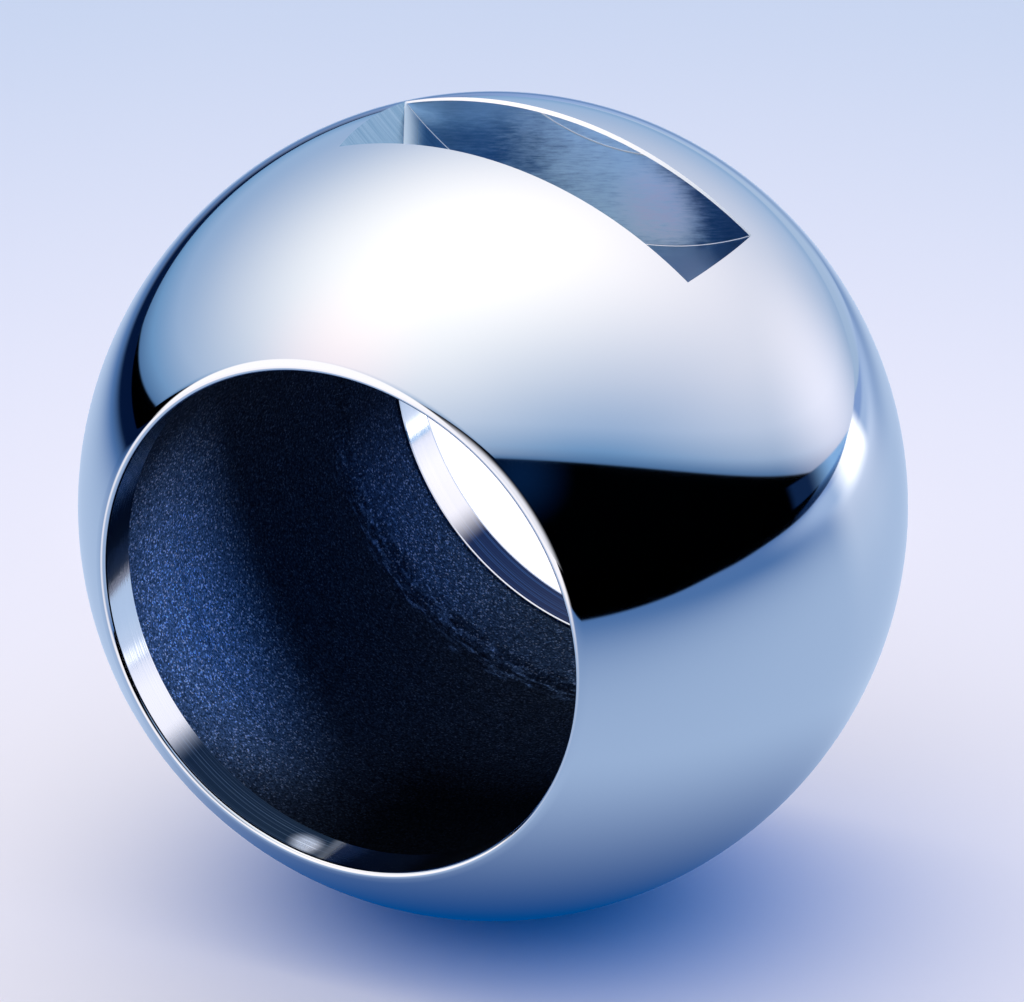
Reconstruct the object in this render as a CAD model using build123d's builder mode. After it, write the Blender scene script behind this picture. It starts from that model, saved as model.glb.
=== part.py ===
from build123d import *
import math
import os

# Valve ball: one cast and turned piece of steel, in millimetres.
# The origin is the centre of the sphere, +Y runs along the flow bore and +Z points out of the stem slot.

# The two turned ports and the sphere round them
port_diameter = 50.8
ball_wall = 14.6  # from the port's wall out to the sphere, square to the bore
land_depth = 5.1  # from the port's sharp mouth to the inner end of the turned land
rim_break = 0.9  # polished edge break of each mouth, along the land and along the sphere

# As-cast bore between the two lands, a little wider than the ports
cast_step = 0.35  # the cast collar lies this far behind the land beside it
collar_length = 9.0
waist_relief = 1.1  # the straight waist lies this far behind the land
waist_slope_length = 1.6  # along the bore, from the collar down to the waist
cast_blend = 2.0  # rounding of the slope's two corners

# Stem slot, cut across the top by a disc cutter whose axis is parallel to the bore
slot_width = 12.6
slot_web = 2.0  # wall left between the slot's floor and the waist
slot_cutter_diameter = 65.0
slot_edge_break = 0.35

port_radius = port_diameter / 2
ball_radius = port_radius + ball_wall
mouth_end = math.sqrt(ball_radius**2 - port_radius**2)
land_end = mouth_end - land_depth
collar_radius = port_radius + cast_step
collar_end = land_end - collar_length
waist_radius = port_radius + waist_relief
waist_end = collar_end - waist_slope_length
slot_floor = waist_radius + slot_web
cutter_radius = slot_cutter_diameter / 2
cutter_height = slot_floor + cutter_radius

with BuildPart() as valve_ball:
    # Section on one side of the bore axis: land, cast collar, waist and back out, closed by the sphere
    with BuildSketch(Plane.XY) as section:
        with BuildLine():
            wall = Polyline(
                (port_radius, -mouth_end),
                (port_radius, -land_end),
                (collar_radius, -land_end),
                (collar_radius, -collar_end),
                (waist_radius, -waist_end),
                (waist_radius, waist_end),
                (collar_radius, collar_end),
                (collar_radius, land_end),
                (port_radius, land_end),
                (port_radius, mouth_end),
            )
            ThreePointArc(wall @ 0, (ball_radius, 0), wall @ 1)
        make_face()
        # Each mouth's edge is broken between the land and the sphere
        mouths = section.vertices().sort_by(Axis.Y)
        chamfer((mouths[0], mouths[-1]), length=rim_break)
        # The cast slopes between collars and waist have soft corners
        fillet(section.vertices().filter_by_position(Axis.Y, -collar_end, collar_end), radius=cast_blend)
    revolve(axis=Axis.Y)

    # The disc cutter goes in from the top, so the slot's floor is an arc that runs out through the sphere
    with BuildSketch(Plane.XZ):
        with Locations((0, cutter_height)):
            Circle(cutter_radius)
    extrude(amount=slot_width / 2, both=True, mode=Mode.SUBTRACT)

    # The slot's two long edges are broken where its walls meet the sphere
    slot_walls = valve_ball.faces().filter_by(Axis.Y).filter_by_position(Axis.Y, -slot_width, slot_width)
    long_edges = [slot_wall.edges().sort_by(Axis.Z)[-1] for slot_wall in slot_walls]
    chamfer(long_edges, length=slot_edge_break)

valve_ball.part.label = "valve_ball"

os.makedirs("parts", exist_ok=True)
export_step(valve_ball.part, "parts/valve_ball.step")
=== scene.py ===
# %% [markdown]
# A polished valve ball.
# This is the ball of a ball valve: one piece of steel with a flow bore through it,
# and a slot on top by which the stem turns it.
# The packed CAD model is the frame. It is loaded first, and its box is kept,
# because the dressed ball may not outgrow it.

# %% Load the frame
import math

import bmesh
import bpy
from mathutils import Matrix, Vector


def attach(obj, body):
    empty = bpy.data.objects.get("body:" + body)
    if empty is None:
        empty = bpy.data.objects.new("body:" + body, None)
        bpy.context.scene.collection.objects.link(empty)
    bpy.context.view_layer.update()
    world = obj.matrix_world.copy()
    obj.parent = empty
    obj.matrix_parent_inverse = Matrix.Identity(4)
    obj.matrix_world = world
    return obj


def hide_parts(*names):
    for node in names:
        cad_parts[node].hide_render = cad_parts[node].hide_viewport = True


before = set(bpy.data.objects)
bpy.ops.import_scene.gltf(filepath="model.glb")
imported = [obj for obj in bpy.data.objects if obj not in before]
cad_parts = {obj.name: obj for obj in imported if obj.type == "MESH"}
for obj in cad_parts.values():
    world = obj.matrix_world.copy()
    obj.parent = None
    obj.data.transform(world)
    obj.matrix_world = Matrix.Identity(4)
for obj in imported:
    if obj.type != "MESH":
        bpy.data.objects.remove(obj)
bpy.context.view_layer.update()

print("nodes", list(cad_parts))

# %% [markdown]
# Shader sums as Python.
# Every finish below is a small sum of noises and masks. Wiring each Math node by hand hides that sum,
# so one class wraps a socket: an expression on two of them adds the Math node, and make() adds any other.

# %% The wire class
class Wire:
    """One output socket of a node tree. Sums of wires add Math nodes to the tree."""

    # A Mix node has sockets of one name for numbers, vectors and colours, so the colour ones go by number
    MIX_FIRST, MIX_SECOND, MIX_RESULT = 6, 7, 2

    def __init__(self, tree, socket=None):
        self.tree = tree
        self.socket = socket

    def make(self, kind, settings=None, sockets=None, out=0):
        """Adds a node: its settings first, then values or wires on its inputs. Gives one output."""
        node = self.tree.nodes.new(kind)
        for name, value in (settings or {}).items():
            if name == "stops":
                ramp = node.color_ramp.elements
                while len(ramp) < len(value):
                    ramp.new(1.0)
                for element, (position, colour) in zip(ramp, value):
                    element.position = position
                    element.color = (*colour, 1.0)
            else:
                setattr(node, name, value)
        for name, value in (sockets or {}).items():
            if isinstance(value, Wire):
                self.tree.links.new(value.socket, node.inputs[name])
            else:
                node.inputs[name].default_value = value
        return Wire(self.tree, node.outputs[out]) if len(node.outputs) else node

    def math(self, operation, *values):
        """A Math node on numbers, or a Vector Math node where one of the values is a vector."""
        vectors = any(isinstance(value, tuple) for value in values)
        kind = "ShaderNodeVectorMath" if vectors else "ShaderNodeMath"
        return self.make(kind, {"operation": operation}, dict(enumerate(values)))

    def __add__(self, other):
        return self.math("ADD", self, other)

    def __sub__(self, other):
        return self.math("SUBTRACT", self, other)

    def __rsub__(self, other):
        return self.math("SUBTRACT", other, self)

    def __mul__(self, other):
        return self.math("MULTIPLY", self, other)

    def __truediv__(self, other):
        return self.math("DIVIDE", self, other)

    __radd__ = __add__
    __rmul__ = __mul__

    def fade(self, low, high):
        """0 below low, 1 above high and a smooth step between."""
        names = {"Value": self, "From Min": low, "From Max": high}
        return self.make("ShaderNodeMapRange", {"interpolation_type": "SMOOTHSTEP"}, names)

    def blend(self, first, second, mode="MIX"):
        """Mixes two colours by this wire: 0 gives the first and 1 the second."""
        settings = {"data_type": "RGBA", "blend_type": mode}
        names = {"Factor": self, self.MIX_FIRST: first, self.MIX_SECOND: second}
        return self.make("ShaderNodeMix", settings, names, out=self.MIX_RESULT)

    def measured(self, operation, sockets):
        """A Vector Math node whose answer is a number."""
        return self.make("ShaderNodeVectorMath", {"operation": operation}, sockets, out="Value")

    def along(self, axis):
        """How far this vector wire reaches along a fixed direction."""
        return self.measured("DOT_PRODUCT", {0: self, 1: axis})

    def length(self):
        """The length of this vector wire."""
        return self.measured("LENGTH", {0: self})

    def near(self, centre, inner, outer):
        """1 where this place wire is within the inner distance of a point, 0 beyond the outer one."""
        return 1 - self.measured("DISTANCE", {0: self, 1: centre}).fade(inner, outer)

    def times(self, amount):
        """This colour wire made stronger or weaker by a number wire."""
        return self.make("ShaderNodeVectorMath", {"operation": "SCALE"}, {0: self, "Scale": amount})

    def stretched(self, scale, turn=(0, 0, 0)):
        """This vector wire scaled, and turned, by a Mapping node."""
        return self.make("ShaderNodeMapping", None, {"Vector": self, "Scale": scale, "Rotation": turn})

    def noise(self, scale, detail, roughness):
        """Noise over this place wire."""
        names = {"Vector": self, "Scale": scale, "Detail": detail, "Roughness": roughness}
        return self.make("ShaderNodeTexNoise", None, names)

    def cells(self, scale, out):
        """Cells round scattered points: the distance to the nearest point, or one colour for each cell."""
        names = {"Vector": self, "Scale": scale}
        return self.make("ShaderNodeTexVoronoi", {"feature": "F1"}, names, out=out)

    def bump(self, strength, distance):
        """The normal of a surface that has this wire as its height."""
        names = {"Strength": strength, "Distance": distance, "Height": self}
        return self.make("ShaderNodeBump", None, names)


def finish(name):
    """A new material, its shader, and a wire that carries each point's place in the frame."""
    material = bpy.data.materials.new(name)
    material.use_nodes = True
    tree = material.node_tree
    tree.nodes.clear()
    shader = tree.nodes.new("ShaderNodeBsdfPrincipled")
    output = tree.nodes.new("ShaderNodeOutputMaterial")
    tree.links.new(shader.outputs[0], output.inputs["Surface"])
    place = Wire(tree).make("ShaderNodeTexCoord", out="Object")
    return material, shader, place


def feed(shader, **sockets):
    """Sets the shader's sockets: a number or colour on the socket itself, a wire by a link."""
    for name, value in sockets.items():
        target = shader.inputs[name.replace("_", " ")]
        if isinstance(value, Wire):
            value.tree.links.new(value.socket, target)
        else:
            target.default_value = value


print("wire class ready, with", sum(callable(value) for value in vars(Wire).values()), "methods")

# %% [markdown]
# The mirror polish.
# The sphere is ground and buffed until it seals against soft seats, so it is close to a perfect mirror.
# A smooth metal would do for that, but it looks too clean: buffing leaves a faint haze and a few specks.
# So noise drives the roughness, and the specks are the middles of scattered cells.

# %% Polished steel
steel_tone = (0.62, 0.68, 0.76, 1)
speck_tone = (0.25, 0.29, 0.36, 1)

polished, shader, place = finish("polished_steel")
haze = place.noise(140.0, 4.0, 0.6)
buffing = place.stretched((60.0, 900.0, 60.0)).noise(1.0, 3.0, 0.55)
speck = 1 - place.cells(90.0, "Distance").fade(0.010, 0.022)
feed(
    shader,
    Base_Color=speck.blend(steel_tone, speck_tone),
    Metallic=1.0,
    Roughness=0.03 + 0.03 * haze * buffing + 0.25 * speck,
)
print("polished steel", len(polished.node_tree.nodes), "nodes")

# %% [markdown]
# The turned lands.
# Behind each mouth a lathe tool has cut a short true bore. Its feed leaves rings, a fifth of a millimetre
# apart, which smear every highlight along the bore. They could be modelled, but they are too fine to be
# worth it, so noise that is slow across the bore and quick along it gives a bump.
# The lower lands carry painted shade: a dark matt tone on the near one, left out at one spot where the
# land stays bright, and deep blue on the far one, which is still bright metal.

# %% Turned steel
SLOT_WAY, BORE_WAY, STEM_WAY = (1, 0, 0), (0, 1, 0), (0, 0, 1)

turned, shader, place = finish("turned_steel")
rings = place.stretched((12.0, 5200.0, 12.0)).noise(1.0, 2.0, 0.6)
bands = place.stretched((6.0, 900.0, 6.0)).noise(1.0, 2.0, 0.5)
clean = bands.blend((0.74, 0.79, 0.85, 1), (0.84, 0.87, 0.92, 1))

# Tones of the painted shade, each for the near land and then the far one
far_land = place.along(BORE_WAY).fade(-0.001, 0.001)
deep = far_land.blend((0.020, 0.045, 0.085, 1), (0.002, 0.014, 0.066, 1))
faint = far_land.blend((0.15, 0.24, 0.36, 1), (0.025, 0.090, 0.260, 1))
painted_shade_tone = rings.fade(0.48, 0.72).blend(deep, faint)

# The painted shade lies on the lower half, stops short on the near land, and leaves out one spot there
along_slot = place.along(SLOT_WAY)
painted_land_shade = along_slot.fade(-0.0170, -0.0138) * (1 - place.along(STEM_WAY).fade(-0.014, -0.002))
painted_land_shade = painted_land_shade * (1 - (1 - far_land) * along_slot.fade(0.0010, 0.0028))
unshaded_spot_middle = (-0.0004, -0.0285, -0.0254)
unshaded_spot = place.near(unshaded_spot_middle, 0.0005, 0.0022) * (0.7 + 0.3 * rings.fade(0.38, 0.60))
painted_land_shade = painted_land_shade * (1 - unshaded_spot)
feed(
    shader,
    Base_Color=painted_land_shade.blend(clean, painted_shade_tone),
    Metallic=1 - 0.93 * painted_land_shade * (1 - far_land),
    Roughness=0.06 + 0.06 * rings,
    Specular_IOR_Level=0.0,
    Normal=(rings + 0.6 * bands).bump(0.12, 0.00006),
)
print("turned steel", len(turned.node_tree.nodes), "nodes")

# %% [markdown]
# The cast wall.
# Between the lands the bore is left as it came out of the mould: a sandy grain under blue grey scale. On
# one side of the near half a pool of light and its glitter are painted on the scale, and on the other
# painted shade makes it nearly black. A rough casting line crosses the bottom before the far collar, with
# painted highlights on its lumps and painted shade in its gaps, and the lower far collar is painted paler
# where light falls on it. A displaced mesh would need millions of faces, so the grain is a bump of fine and
# coarse noise, and masks mix the tones of a matt scale with bright cells.

# %% Cast steel
cast, shader, place = finish("cast_steel")
grain = place.noise(3800.0, 3.0, 0.7)
lumps = place.noise(900.0, 3.0, 0.6)
drift = place.noise(260.0, 3.0, 0.6)
along_slot = place.along(SLOT_WAY)
along_bore = place.along(BORE_WAY)

# The far collar and the casting line before it, both with wandering edges
depth = along_bore + 0.006 * drift - 0.003
lower = 1 - place.along(STEM_WAY).fade(-0.0180, -0.0060)
collar = depth.fade(0.0142, 0.0170) * lower * (1 - 0.5 * along_slot.fade(-0.013, -0.004))
cast_line = depth.fade(0.0132, 0.0146) * (1 - depth.fade(0.0158, 0.0184)) * lower
lump = place.stretched((420.0, 1500.0, 420.0)).noise(1.0, 3.0, 0.6).fade(0.42, 0.68)

# Tones of the scale with painted light: dark, painted paler on the lower collar, painted highlights on the
# lumps and painted shade in the gaps of the line, and the painted pool of light
lit_patch_middle = (-0.0158, -0.0178, -0.0098)
painted_lit_patch = place.stretched((0.7, 1.0, 0.7)).near(lit_patch_middle, 0.002, 0.0165)
# Painted shade: the scale is made nearly black on one side of the near half
painted_dark_side = along_slot.fade(-0.008, 0.004) * (1 - along_bore.fade(-0.012, 0.004))
scale_and_painted_light = collar.blend((0.022, 0.033, 0.056, 1), (0.055, 0.105, 0.21, 1))
scale_and_painted_light = (cast_line * lump).blend(scale_and_painted_light, (0.120, 0.195, 0.340, 1))
scale_and_painted_light = (cast_line * (1 - lump) * 0.6).blend(scale_and_painted_light, (0.010, 0.016, 0.034, 1))
scale_and_painted_light = painted_lit_patch.blend(scale_and_painted_light, (0.25, 0.41, 0.68, 1))

# Grain and glitter: a crystal is a cell, as bright as one channel of its colour. The glitter is painted
# brighter in the pool of light and on the collar and dimmed in the painted shade, and the best sparkles are
# painted white glints
crystal = place.cells(6500.0, "Color").along((1, 0, 0))
glitter = crystal.fade(0.62, 1.0)
glitter_and_painted_glint = (1.0 + 2.0 * painted_lit_patch + 1.0 * collar) * glitter * glitter
grain_and_painted_light = (0.30 + 1.1 * grain.fade(0.35, 0.70)) * (0.75 + glitter_and_painted_glint) * (1 - 0.85 * painted_dark_side)
painted_sparkle = crystal.fade(0.88, 1.0) * (0.02 + 0.95 * painted_lit_patch + 0.20 * collar)
painted_sparkle = painted_sparkle * (1 - painted_dark_side)
feed(
    shader,
    Base_Color=painted_sparkle.blend(scale_and_painted_light.times(grain_and_painted_light), (1.0, 0.95, 0.95, 1)),
    Metallic=0.0,
    Roughness=0.5,
    Specular_IOR_Level=0.0,
    Normal=(grain + 0.8 * lumps).bump(0.6, 0.00012),
)
print("cast steel", len(cast.node_tree.nodes), "nodes")

# %% [markdown]
# The milled slot.
# A disc cutter sweeps the slot's two walls and floor. Its side teeth leave faint arcs on the walls, which
# were then given slanted brush strokes. On a wall the pale matt middle is painted sheen, with a painted
# pinkish reflection in it, the top is painted lighter where light falls, and one scored line is painted
# white as a highlight. The floor keeps straight streaks along the sweep; across one corner lies a painted
# reflection of the far wall's end as a bright line, and painted shade darkens it towards the other end.
# The marks are far too fine to model, so each is noise stretched along the path of its tool.

# %% Milled steel
MM = 0.001
WHITE = (1.0, 1.0, 1.0, 1)
slot_floor = 28.5 * MM
cutter_radius = 32.5 * MM
cutter_height = slot_floor + cutter_radius
rub_radius = 23.0 * MM
brush_slant = math.radians(20)

milled, shader, place = finish("milled_steel")
along_slot = place.along(SLOT_WAY)
swing = ((place - (1.5 * MM, 0, cutter_height)) * (1, 0, 1)).length()
arcs = place.make("ShaderNodeCombineXYZ", None, {"X": 70 * along_slot, "Y": 2600 * swing})
sweep = arcs.noise(1.0, 4.0, 0.65)
slanted = place.stretched((1, 1, 1), (0, brush_slant, 0))
cloud = slanted.stretched((260.0, 260.0, 700.0)).noise(1.0, 6.0, 0.7)
brush = slanted.stretched((600.0, 600.0, 5200.0)).noise(1.0, 4.0, 0.65)

# Where painted sheen makes the wall pale, where a pinkish reflection is painted, and the thin line that
# is scored into it, whose white is a painted highlight
slant = along_slot + 1.2 * place.along(STEM_WAY)
painted_sheen_patch = place.near((0.0045, 0.0063, 0.0350), 0.002, 0.0190) * (1 - slant.fade(0.0490, 0.0620))
painted_pink_reflection = place.near((0.0092, 0.0063, 0.0338), 0.001, 0.0060)
from_line = swing - rub_radius
scored_line_highlight = 1 - from_line.math("ABSOLUTE", from_line).fade(0.00005, 0.00011)
scored_line_highlight = scored_line_highlight * (1 - swing.fade(rub_radius, rub_radius + 1 * MM))

# Tones: blue, painted lighter towards the top, then the pale painted sheen, the painted pinkish reflection
# and the painted white of the scored line
painted_top_light = (place * (1, 0, 1)).length().fade(0.0355, 0.0393) * (1 - along_slot.fade(0.004, 0.012))
blue = (0.65 * painted_top_light + 0.7 * cloud + 0.7 * brush - 0.42).fade(0.0, 1.0)
wear_and_sheen = (0.95 * painted_sheen_patch + 0.35 * painted_pink_reflection + 0.6 * cloud + 0.8 * brush - 0.85).fade(0.0, 1.0)
tone = blue.blend((0.085, 0.21, 0.40, 1), (0.36, 0.56, 0.78, 1))
tone = wear_and_sheen.blend(tone, (0.80, 0.95, 1.0, 1))
tone = (painted_pink_reflection * (1.5 * cloud + 1.5 * brush - 0.7)).blend(tone, (1.0, 0.90, 0.95, 1))
feed(
    shader,
    Base_Color=scored_line_highlight.blend(tone, WHITE),
    Metallic=1 - 0.85 * wear_and_sheen * (1 - scored_line_highlight),
    Roughness=0.26 + 0.26 * painted_sheen_patch + 0.10 * cloud,
    Normal=(sweep + 0.5 * cloud + 5.0 * scored_line_highlight).bump(0.25, 0.00005),
)
print("milled steel", len(milled.node_tree.nodes), "nodes")

# %% Streaked and dressed steel
streaked, shader, place = finish("streaked_steel")
streak = place.stretched((60.0, 2400.0, 60.0)).noise(1.0, 4.0, 0.65)
# A painted reflection: the far wall's end shows as a bright line across one corner of the floor, and painted
# shade darkens the floor towards the other end
to_corner = place.along((0.855, 0.518, 0))
painted_corner_reflection = to_corner.fade(-0.01308, -0.01298) * (1 - to_corner.fade(-0.0131, -0.0106))
painted_end_shade = place.along(SLOT_WAY).fade(0.006, 0.018)
tone = streak.fade(0.25, 0.75).blend((0.15, 0.30, 0.46, 1), (0.26, 0.42, 0.59, 1))
tone = painted_end_shade.blend(tone, (0.09, 0.20, 0.36, 1))
feed(
    shader,
    Base_Color=painted_corner_reflection.blend(tone, (0.80, 0.90, 0.96, 1)),
    Metallic=1 - 0.9 * painted_corner_reflection,
    Roughness=0.16 + 0.10 * streak,
    Normal=streak.bump(0.25, 0.00004),
)

dressed, shader, place = finish("dressed_edge")
file_marks = place.noise(1800.0, 2.0, 0.5)
feed(shader, Base_Color=(0.80, 0.83, 0.88, 1), Metallic=1.0, Roughness=0.26 + 0.14 * file_marks)
print("streaked steel", len(streaked.node_tree.nodes), "nodes, dressed", len(dressed.node_tree.nodes))

# %% [markdown]
# The ball's section.
# On a lathe the ball is a section turned round the bore's axis, so it is drawn the same way here: half of
# the section, from the equator over the worn mouth and down the bore, then mirrored and spun. Arcs are spins
# of one point. Buffing wears a mouth's edge twice: a wide soft shoulder towards the sphere, then a tight
# rounding into the bore. A bevel would give one rounding only, so both are drawn.

# %% Draw half of the section
ball_radius = 40.0 * MM
port_radius = 25.4 * MM
shoulder_round = 3.0 * MM
rim_round = 0.45 * MM
shoulder_turn = math.radians(14)
land_end = 25.8 * MM
land_burr = 0.1 * MM
collar_radius = 25.75 * MM
slope_start = 17.7 * MM
slope_round = 4.0 * MM
slope_turn = math.radians(25)
sphere_steps, shoulder_steps, rim_steps, slope_steps = 52, 8, 10, 6

section = bmesh.new()


def arc(start, centre, angle, steps):
    """Carries the line on from a point by turning it round a centre, and gives the new end."""
    made = bmesh.ops.spin(section, geom=[start], cent=centre, axis=(0, 0, 1), angle=angle, steps=steps)
    return made["geom_last"][0]


def line(start, *points):
    """Carries the line on from a point through more points, and gives the new end."""
    for x, y in points:
        start = bmesh.ops.extrude_vert_indiv(section, verts=[start])["verts"][0]
        start.co = (x, y, 0)
    return start


def polar(length, angle):
    """A point of the section at that distance and angle from the ball's centre."""
    return Vector((length * math.cos(angle), length * math.sin(angle), 0))


# The shoulder leaves the sphere where the rounding after it just touches the port
lean_x = ball_radius - shoulder_round + (shoulder_round - rim_round) * math.cos(shoulder_turn)
lean_y = (shoulder_round - rim_round) * math.sin(shoulder_turn)
mouth_angle = math.acos((port_radius + rim_round) / math.hypot(lean_x, lean_y)) - math.atan2(lean_y, lean_x)
rim_angle = mouth_angle + shoulder_turn
shoulder_centre = polar(ball_radius - shoulder_round, mouth_angle)
rim_centre = shoulder_centre + polar(shoulder_round - rim_round, rim_angle)

end = bmesh.ops.create_vert(section, co=(ball_radius, 0, 0))["vert"][0]
end = arc(end, (0, 0, 0), mouth_angle, sphere_steps)
end = arc(end, shoulder_centre, shoulder_turn, shoulder_steps)
end = arc(end, rim_centre, math.pi - rim_angle, rim_steps)
end = line(
    end,
    (port_radius, land_end + land_burr),
    (port_radius + land_burr, land_end),
    (collar_radius, land_end),
    (collar_radius, (land_end + slope_start) / 2),
    (collar_radius, slope_start),
)
slope_centre = Vector((collar_radius + slope_round, slope_start, 0))
end = arc(end, slope_centre, slope_turn, slope_steps)
end = arc(end, 2 * end.co - slope_centre, -slope_turn, slope_steps)
waist_radius = end.co.x
end = line(end, (waist_radius, end.co.y / 2), (waist_radius, 0))
print("half section", len(section.verts), "points, waist", round(waist_radius / MM, 2), "mm")

# %% Mirror the section and spin it
weld = 1e-7
turn_steps = 320
wall_slack = 0.1 * MM
land_slack = 0.4 * MM

half = section.verts[:] + section.edges[:]
bmesh.ops.mirror(section, geom=half, matrix=Matrix(), merge_dist=weld, axis="Y")
whole = section.verts[:] + section.edges[:]
bmesh.ops.spin(
    section, geom=whole, cent=(0, 0, 0), axis=BORE_WAY, angle=math.tau, steps=turn_steps, use_merge=True
)
bmesh.ops.remove_doubles(section, verts=section.verts[:], dist=weld)
bmesh.ops.recalc_face_normals(section, faces=section.faces[:])

ZONES = [polished, turned, cast]
for face in section.faces:
    middle = face.calc_center_median()
    off_axis = math.hypot(middle.x, middle.z)
    off_middle = abs(middle.y)
    if off_middle < land_end + land_burr / 4 and off_axis < waist_radius + wall_slack:
        face.material_index = ZONES.index(cast)
    elif off_axis < port_radius + land_slack and land_end + land_burr < off_middle < rim_centre.y:
        face.material_index = ZONES.index(turned)
print("blank", len(section.verts), "points", len(section.faces), "faces")
print("volume", round(section.calc_volume() / MM**3), "cubic mm")

# %% [markdown]
# The slot.
# One disc cutter, its axis parallel to the bore, makes both walls and the round floor. A Boolean with the
# same disc does it here, because its run-outs through the sphere would be hard to draw. The long edges are
# then broken by a cutter with slanted flanks, set a little low, so that the break is widest in the middle
# and runs out towards the ends.

# %% Cut the slot
slot_width = 12.6 * MM
floor_fillet = 0.06 * MM
fillet_steps = 3
disc_sides = 360


def piece(name, mesh_data, materials):
    """Turns a bmesh into an object of that name."""
    made_mesh = bpy.data.meshes.new(name)
    mesh_data.to_mesh(made_mesh)
    mesh_data.free()
    for material in materials:
        made_mesh.materials.append(material)
    made = bpy.data.objects.new(name, made_mesh)
    bpy.context.collection.objects.link(made)
    return made


def disc(name, width):
    """A disc cutter of that width, standing over the slot, with its corners just rounded."""
    tool = bmesh.new()
    stand = Matrix.Translation((0, 0, cutter_height)) @ Matrix.Rotation(math.pi / 2, 4, "X")
    bmesh.ops.create_cone(
        tool, cap_ends=True, segments=disc_sides, radius1=cutter_radius, radius2=cutter_radius,
        depth=width, matrix=stand,
    )
    for face in tool.faces:
        face.material_index = 0 if len(face.verts) > 4 else 1
    rims = [edge for edge in tool.edges if any(len(face.verts) > 4 for face in edge.link_faces)]
    bmesh.ops.bevel(
        tool, geom=rims, offset=floor_fillet, segments=fillet_steps, profile=0.5, affect="EDGES", material=2
    )
    return piece(name, tool, [milled, streaked, dressed])


def cut(blank, tool, operation):
    """Applies one Boolean to the blank and clears the tool away."""
    step = blank.modifiers.new("cut", "BOOLEAN")
    step.operation = operation
    step.object = tool
    step.solver = "EXACT"
    step.material_mode = "TRANSFER"
    bpy.context.view_layer.update()
    seen = blank.evaluated_get(bpy.context.evaluated_depsgraph_get())
    cut_mesh = bpy.data.meshes.new_from_object(seen)
    blank.modifiers.clear()
    blank.data = cut_mesh
    bpy.data.objects.remove(tool)


ball = piece("polished_ball", section, ZONES)
cut(ball, disc("slot_cutter", slot_width), "DIFFERENCE")
print("slot cut", len(ball.data.polygons), "faces", [m.name for m in ball.data.materials])

# %% Break the slot's long edges
flank_ring = 40.92 * MM
flank_shift = (0.05 * MM, 0, -1.79 * MM)
flank_sweep = math.radians(80)
flank_steps = 120
limit_width = 20 * MM
flank_section = [(-0.3, 6.0), (2.0, 8.3), (2.0, -8.3), (-0.3, -6.0)]

flank = bmesh.new()
for outward, sideways in flank_section:
    bmesh.ops.create_vert(flank, co=(0, sideways * MM, flank_ring + outward * MM))
bmesh.ops.contextual_create(flank, geom=flank.verts[:])
swung_back = Matrix.Rotation(-flank_sweep / 2, 3, "Y")
bmesh.ops.rotate(flank, verts=flank.verts[:], cent=(0, 0, 0), matrix=swung_back)
bmesh.ops.spin(
    flank, geom=flank.verts[:] + flank.edges[:] + flank.faces[:], cent=(0, 0, 0), axis=BORE_WAY,
    angle=flank_sweep, steps=flank_steps,
)
bmesh.ops.translate(flank, verts=flank.verts[:], vec=flank_shift)
bmesh.ops.recalc_face_normals(flank, faces=flank.faces[:])
edge_cutter = piece("edge_cutter", flank, [dressed])
cut(edge_cutter, disc("edge_limit", limit_width), "INTERSECT")
print("edge cutter", len(edge_cutter.data.polygons), "faces")
cut(ball, edge_cutter, "DIFFERENCE")
print("edges broken", len(ball.data.polygons), "faces", [m.name for m in ball.data.materials])

# %% [markdown]
# True normals for the mirror.
# A mirror shows the smallest fault of its normals. Averaged normals go wrong beside every cut, so the
# polished faces get the exact ones: away from the centre of the arc that made them, which is the sphere's,
# the shoulder's or the rim's. The lands and the slot's floor get theirs from the bore and the cutter, and
# the near land's lean a little, because the feed leaves its rings with one long flank.

# %% Set the normals
crease = math.radians(20)
feed_lean = math.radians(8)
lip_reach = 1 * MM

mesh = ball.data
mesh.shade_smooth()
mesh.set_sharp_from_angle(angle=crease)


def arc_normal(spot):
    """The normal of the polished section at a point of the ball."""
    away = Vector((math.hypot(spot.x, spot.z), abs(spot.y), 0))
    if math.atan2(away.y, away.x) > mouth_angle:
        from_shoulder = away - shoulder_centre
        on_shoulder = math.atan2(from_shoulder.y, from_shoulder.x) < rim_angle
        away = from_shoulder if on_shoulder else away - rim_centre
    outward = Vector((spot.x, 0, spot.z)).normalized() * away.x
    return (outward + Vector((0, math.copysign(away.y, spot.y), 0))).normalized()


def on_lip(spot):
    """Whether a polished point belongs to the bright lip at a land's inner edge."""
    return abs(spot.y) < rim_centre.y - lip_reach and math.hypot(spot.x, spot.z) < port_radius + lip_reach


normals = [normal.vector.copy() for normal in mesh.corner_normals]
names = [material.name for material in mesh.materials]
for face in mesh.polygons:
    kind = names[face.material_index]
    for loop in face.loop_indices:
        spot = mesh.vertices[mesh.loops[loop].vertex_index].co
        if kind == "polished_steel":
            to_axis = Vector((-spot.x, 0, -spot.z)).normalized()
            normals[loop] = to_axis if on_lip(spot) else arc_normal(spot)
        elif kind == "turned_steel":
            lean = feed_lean if spot.y < 0 else 0
            normals[loop] = Vector((-spot.x, math.tan(lean) * port_radius, -spot.z)).normalized()
        elif kind == "streaked_steel":
            normals[loop] = Vector((-spot.x, 0, cutter_height - spot.z)).normalized()
mesh.normals_split_custom_set(normals)
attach(ball, "root")
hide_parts("valve_ball")
print("normals set on", len(normals), "corners")

# %% [markdown]
# The camera.
# It stands where the photograph was taken from: to the right of the bore, about thirty degrees up and a
# little rolled. A long lens from far off keeps the ball's outline round, as it is in the photograph.

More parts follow.
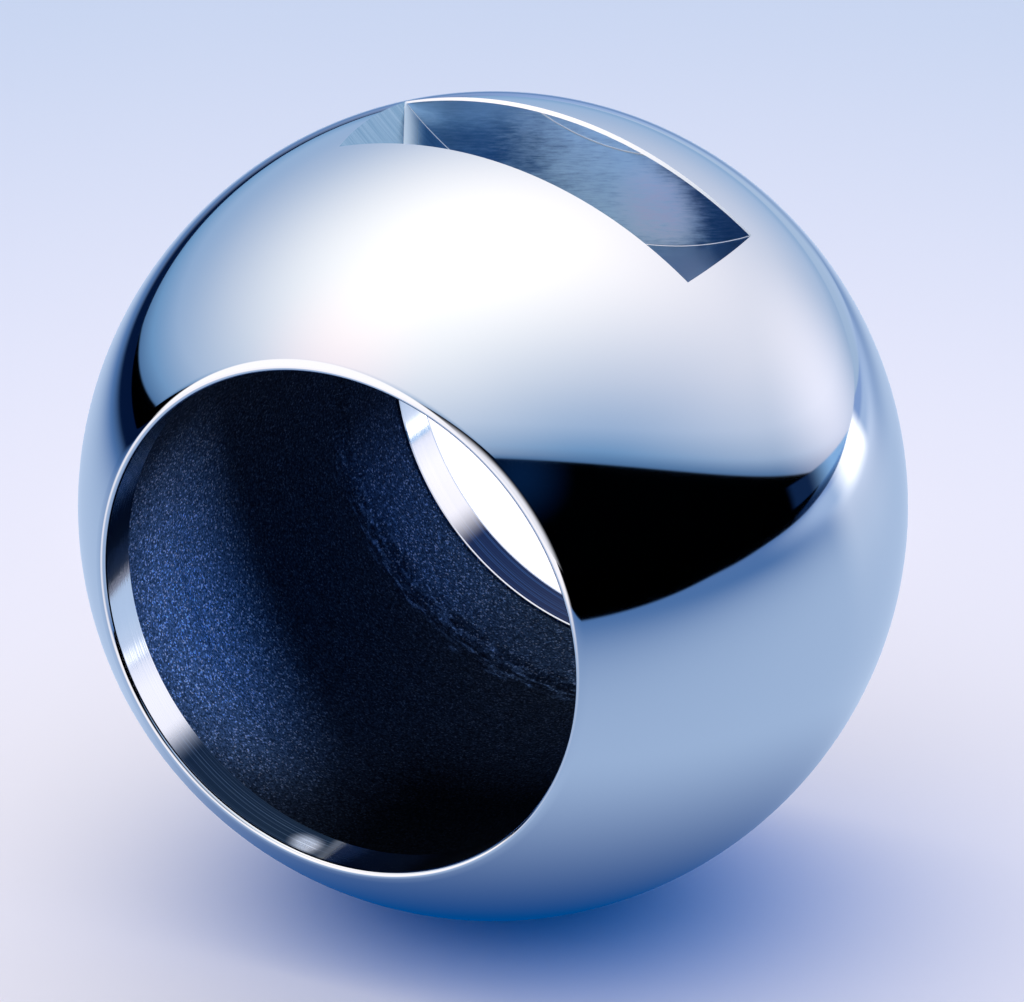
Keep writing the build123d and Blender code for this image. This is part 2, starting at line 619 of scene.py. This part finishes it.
# %% Camera
view_azimuth, view_elevation, view_roll = 24.65, 29.10, 9.41
view_right, view_up, view_distance = 1.83 * MM, 0.49 * MM, 0.8620
turn = (
    Matrix.Rotation(math.radians(view_azimuth), 3, "Z")
    @ Matrix.Rotation(math.radians(90 - view_elevation), 3, "X")
    @ Matrix.Rotation(math.radians(view_roll), 3, "Z")
)
eye = turn @ Vector((view_right, view_up, view_distance))
camera = bpy.data.objects.new("camera", bpy.data.cameras.new("camera"))
camera.data.sensor_width = 36.0
camera.data.lens = 314.1
camera.data.clip_start = 0.01
camera.data.clip_end = 20.0
camera.matrix_world = Matrix.Translation(eye) @ turn.to_4x4()
bpy.context.collection.objects.link(camera)
bpy.context.scene.camera = camera
print("camera at", [round(v, 4) for v in camera.matrix_world.translation])

# %% [markdown]
# The floor.
# The ball lies tipped along its slot. Its frame stays upright, so the floor leans instead and touches the
# sphere from below. The camera sees lit paper with a shadow, and a pool of light painted on it round the
# ball. The mirror sees far more: a bright pool behind the ball, the ball's own shade, a pale drape and a
# shine at the right, and the edges past which the studio is dark. A whole room could be built for that, but
# the ball shows only its tones. So the floor has one tone for the camera, and for the mirror it glows in
# these painted tones, which a Light Path node tells apart.

# %% Lay the floor
floor_up = Vector((-0.190, 0.050, 0.981)).normalized()
to_camera = Vector(turn.col[2])
floor_front = (to_camera - floor_up * to_camera.dot(floor_up)).normalized()
floor_right = floor_up.cross(floor_front)
floor_radius = 3.0
contact = floor_up * -ball_radius


def on_floor(forward, right):
    """A point of the floor, so far towards the camera and to its right from where the ball touches."""
    return contact + floor_front * forward + floor_right * right


leaning = Matrix((floor_right, -floor_front, floor_up)).transposed().to_4x4()
ground = bmesh.new()
bmesh.ops.create_circle(ground, cap_ends=True, segments=64, radius=floor_radius)
bmesh.ops.transform(ground, matrix=Matrix.Translation(contact) @ leaning, verts=ground.verts[:])
print("floor leans", round(math.degrees(floor_up.angle(Vector((0, 0, 1)))), 1), "degrees")

# %% Paint the floor
BLACK = (0, 0, 0, 1)
dark_studio = (0.007, 0.024, 0.080, 1)
floor_blue = (0.108, 0.231, 0.490, 1)
pool_middle = on_floor(-0.095, 0.023)

paper, shader, place = finish("pale_paper")
forward = place.along(floor_front)
right = place.along(floor_right)

# What the camera sees: the paper, with a pool of light painted on it round the ball
painted_light_pool = place.near(on_floor(-0.03, 0), 0.05, 0.30)
paper_and_pool_tone = painted_light_pool.blend((0.56, 0.63, 0.78, 1), (0.84, 0.81, 0.91, 1))

# What the mirror sees: the pool, the blue in front of it and the ball's own shade
mirror_tone = place.near(pool_middle, 0.115, 0.375).blend(floor_blue, (0.520, 0.652, 0.878, 1))
mirror_tone = forward.fade(0.064, 0.330).blend(mirror_tone, floor_blue)
mirror_tone = place.near(contact, 0.012, 0.062).blend(mirror_tone, (0.0, 0.072, 0.29, 1))

# Far from the pool: nearly black at the left, and at the right blue that dims towards the camera
side_shade = place.along(floor_front + 0.1 * floor_right).fade(-0.06, 0.05)
side_tone = side_shade.blend((0.32, 0.46, 0.78, 1), (0.13, 0.25, 0.52, 1))
far_tone = right.fade(-0.35, 0.10).blend((0.002, 0.010, 0.045, 1), side_tone)
mirror_tone = place.near(pool_middle, 0.28, 0.65).blend(far_tone, mirror_tone)

# The pale drape at the back, a pale spot beside it, and the shine with its halo
drape = place.along(-floor_front - 0.75 * floor_right).fade(0.26, 0.30) * right.fade(0.0, 0.25)
mirror_tone = drape.blend(mirror_tone, (0.50, 0.64, 0.84, 1))
mirror_tone = place.near(on_floor(-0.32, 0.56), 0.20, 0.48).blend(mirror_tone, (0.52, 0.66, 0.92, 1))
bearing = forward / right
shine = bearing.fade(-0.81, -0.66) * (1 - bearing.fade(-0.50, -0.25)) * right.fade(0.30, 0.50)
halo = bearing.fade(-1.3, -0.5) * (1 - bearing.fade(-0.36, -0.12)) * right.fade(0.05, 0.33)
shine = shine + 0.25 * halo * (1 - right.fade(0.33, 0.50))
mirror_tone = shine.blend(mirror_tone, (2.0, 1.9, 1.85, 1))

# The edges: past the right one the studio is dim, past the two in front it is black
past_right = place.along(floor_right + 1.15 * floor_front).fade(0.81, 0.86)
beyond = (0 - forward).fade(0.1, 1.2).blend(dark_studio, (0.20, 0.42, 0.82, 1))
beyond = forward.fade(-0.05, 0.05).blend(beyond, BLACK)
mirror_tone = past_right.blend(mirror_tone, beyond)
mirror_tone = forward.fade(0.235, 0.255).blend(mirror_tone, BLACK)
past_slant = place.along(floor_front + 0.35 * floor_right).fade(0.36, 0.41)
mirror_tone = past_slant.blend(mirror_tone, BLACK)

# A painted reflection: the white card that stands in front, at the left, put into the floor's glow for the
# mirror
painted_card_reflection = place.along((-0.616, -0.788, 0)).fade(0.06, 0.12) * forward.fade(0.02, 0.08)
painted_card_reflection = painted_card_reflection * (1 - right.fade(-0.02, 0.02))
mirror_tone = painted_card_reflection.blend(mirror_tone, (1.50, 1.35, 1.30, 1))

# Only mirror rays get the glow, and from below the floor is clear
glossy = place.make("ShaderNodeLightPath", out="Is Glossy Ray")
feed(
    shader,
    Base_Color=glossy.blend(paper_and_pool_tone, BLACK),
    Emission_Color=glossy.blend(BLACK, mirror_tone),
    Emission_Strength=1.0,
    Roughness=0.9,
    Specular_IOR_Level=0.0,
)
from_below = place.make("ShaderNodeNewGeometry", out="Backfacing")
paper_side = Wire(paper.node_tree, shader.outputs[0])
clear = place.make("ShaderNodeBsdfTransparent")
cover = place.make("ShaderNodeMixShader", None, {0: from_below, 1: paper_side, 2: clear})
output = next(node for node in paper.node_tree.nodes if node.type == "OUTPUT_MATERIAL")
paper.node_tree.links.new(cover.socket, output.inputs["Surface"])
floor = piece("floor", ground, [paper])
print("floor paper", len(paper.node_tree.nodes), "nodes")

# %% [markdown]
# The light tent.
# A big round diffuser hangs over the ball and leans back from the camera: blue at its hem, white where its
# lamp is, and rosy at the back. Below the hem, towards the camera, the studio is dark, but for two white
# cards. It is all far away, so the world shader can be the tent. Only the mirror sees it. The camera sees a
# plain backdrop, and all that is matt is lit by a blue sky with one warm patch. Headings turn from -Y to +X.

# %% Headings of the tent
world = bpy.data.worlds.new("light_tent")
bpy.context.scene.world = world
world.use_nodes = True
world.node_tree.nodes.clear()
wire = Wire(world.node_tree)
direction = wire.make("ShaderNodeTexCoord", out="Generated")


def heading(azimuth, elevation):
    """The unit vector of a direction given in degrees."""
    turned_by, raised_by = math.radians(azimuth), math.radians(elevation)
    flat = math.cos(raised_by)
    return Vector((math.sin(turned_by) * flat, -math.cos(turned_by) * flat, math.sin(raised_by)))


def off(azimuth, elevation):
    """The angle between the looked-at direction and a heading."""
    return direction.math("ARCCOSINE", direction.along(heading(azimuth, elevation)))


def glow(azimuth, elevation, inner, outer):
    """A soft round patch of the sky: 1 within the inner angle of a heading and 0 outside the outer one."""
    return 1 - off(azimuth, elevation).fade(math.radians(inner), math.radians(outer))


print("heading 90 is", [round(v, 3) for v in heading(90, 0)])

# %% Tent
tent_heading = 216.5
tent_elevation = 61.6
tent_spread = math.radians(75.8)
hem = [
    (0.000, (0.0, 0.0, 0.0)),
    (0.006, (0.11, 0.23, 0.43)),
    (0.063, (0.218, 0.414, 0.674)),
    (0.172, (0.400, 0.563, 0.803)),
    (0.382, (0.474, 0.606, 0.822)),
]

# How far a direction lies inside the hem, which is a little wider at its sides, and the cloth from there
sideways = direction.along(heading(tent_heading + 90, 0))
inside = tent_spread + 0.086 * sideways * sideways - off(tent_heading, tent_elevation)
cloth = inside.make("ShaderNodeValToRGB", {"stops": hem}, {"Fac": inside})

# Its lamp, a faint shade under the hem, the rosy back and a blush in front
core = glow(-85, 64, 0, 73) * inside.fade(0.0, 0.03)
cloth = core.blend(cloth, (1.75, 1.60, 1.45, 1))
hem_shade = glow(32, 38, 0, 16) * (1 - inside.fade(0.0, 0.006))
cloth = hem_shade.blend(cloth, (0.002, 0.015, 0.055, 1), "ADD")
rosy = glow(158, 45, 0, 70) * inside.fade(-0.01, 0.08)
cloth = rosy.blend(cloth, (0.739, 0.526, 0.342, 1), "ADD")
rosy_foot = glow(146, 5, 0, 30) * inside.fade(0.0, 0.006)
cloth = rosy_foot.blend(cloth, (0.56, 0.42, 0.35, 1), "ADD")
cloth = glow(-52, 40, 0, 30).blend(cloth, (0.20, 0.03, 0.0, 1), "ADD")

# The studio under the cloth: black towards the camera and blue behind the ball
backward = direction.along(heading(207, 0))
studio = backward.fade(0.03, 0.09).blend(BLACK, dark_studio)
studio = backward.fade(0.18, 0.40).blend(studio, (0.34, 0.60, 0.95, 1))
tent = direction.along((-0.306, 0.137, 0.942)).fade(0.0, 0.006).blend(studio, cloth)

# The two cards, then what the camera sees and what lights everything matt
tent = glow(-33, 2, 34, 38).blend(tent, (1.60, 1.45, 1.36, 1))
tent = glow(8, 8, 12, 30).blend(tent, (1.30, 1.20, 1.20, 1))
shed = glow(-96, 68, 0, 75).blend((0.0, 0.30, 1.02, 1), (2.58, 2.22, 1.27, 1))
backdrop = (0.62, 0.67, 0.87, 1)
lit = wire.make("ShaderNodeLightPath", out="Is Glossy Ray").blend(shed, tent)
sky = wire.make("ShaderNodeLightPath", out="Is Camera Ray").blend(lit, backdrop)
background = wire.make("ShaderNodeBackground", None, {"Color": sky, "Strength": 1.0})
wire.make("ShaderNodeOutputWorld", None, {"Surface": background})
print("tent", len(world.node_tree.nodes), "nodes")

# %% [markdown]
# A small lamp.
# In the photograph the far port looks out on white paper. A narrow spot on the floor behind the ball does
# that without making the rest of the floor brighter.

# %% Lamp
lamp_target = on_floor(-0.098, 0.0)
lamp_offset = Vector((-0.03, 0.10, 0.6))
pool_lamp = bpy.data.objects.new("pool_lamp", bpy.data.lights.new("pool_lamp", "SPOT"))
pool_lamp.data.energy = 6.0
pool_lamp.data.spot_size = math.radians(8)
pool_lamp.data.spot_blend = 0.9
pool_lamp.data.shadow_soft_size = 0.01
pool_lamp.location = lamp_target + lamp_offset
pool_lamp.rotation_euler = (-lamp_offset).to_track_quat("-Z", "Y").to_euler()
bpy.context.collection.objects.link(pool_lamp)
print("pool lamp", pool_lamp.data.energy, "W")

# %% [markdown] The view transform.

# %% Close
bpy.context.scene.view_settings.view_transform = "Standard"
